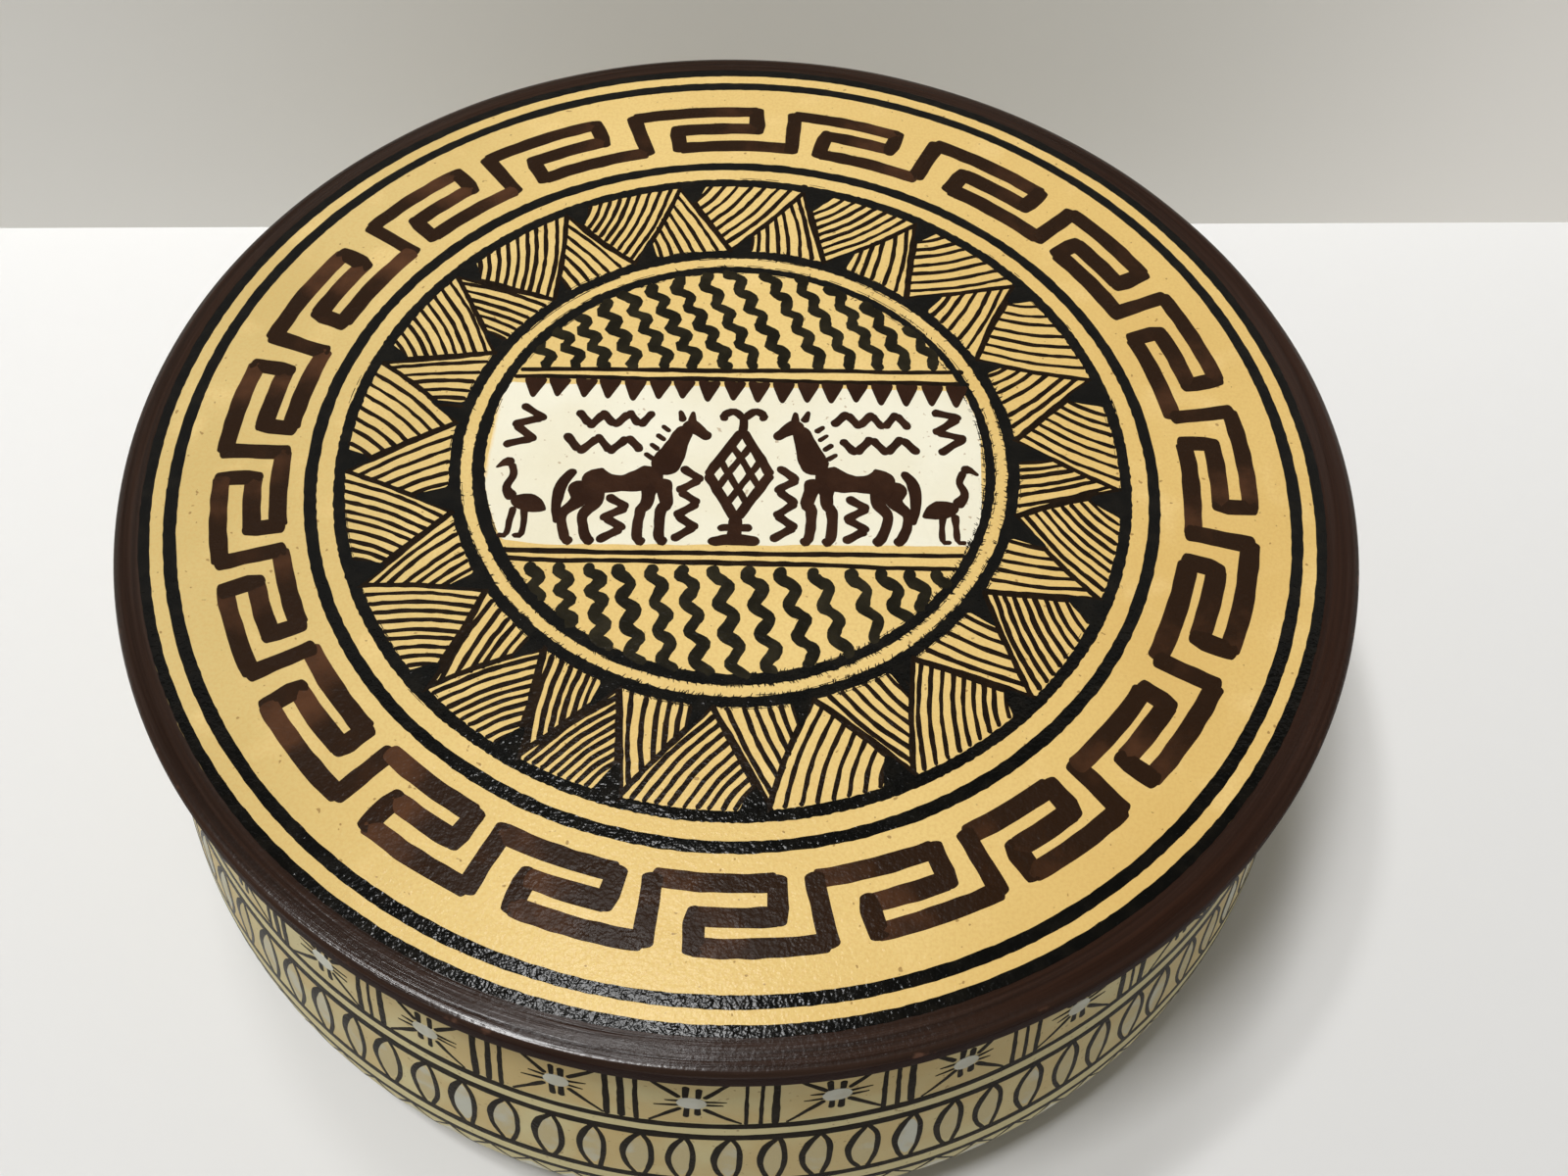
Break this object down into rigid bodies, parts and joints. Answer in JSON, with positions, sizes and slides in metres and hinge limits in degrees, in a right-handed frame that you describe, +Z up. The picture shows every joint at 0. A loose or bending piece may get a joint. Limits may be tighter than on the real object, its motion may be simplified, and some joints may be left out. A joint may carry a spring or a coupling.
{
  "type": "pottery trinket box",
  "caption": "Low round bellied pottery box with a loose flat lid, painted all over with bands of geometric ornament; holds small things.",
  "frame": {"origin": "middle of the base, on the surface that the box stands on", "axes": "+Z up along the axis of revolution; +X and +Y square to it, with the side that the picture shows facing -Y"},
  "size_m": [0.1558, 0.1558, 0.055],
  "materials": {
    "painted_bowl": "satin varnish over tan slip with brown line painting",
    "painted_lid": "satin varnish over cream slip with brown and black painting and a dark brown rim"
  },
  "bodies": {
    "bowl": {"box_body": "painted_bowl"},
    "lid": {"lid": "painted_lid"}
  },
  "joints": [
    {"name": "lid_lift", "type": "slide", "parent": "bowl", "child": "lid", "axis": [0, 0, 1], "range_m": [0, 0.1]}
  ]
}
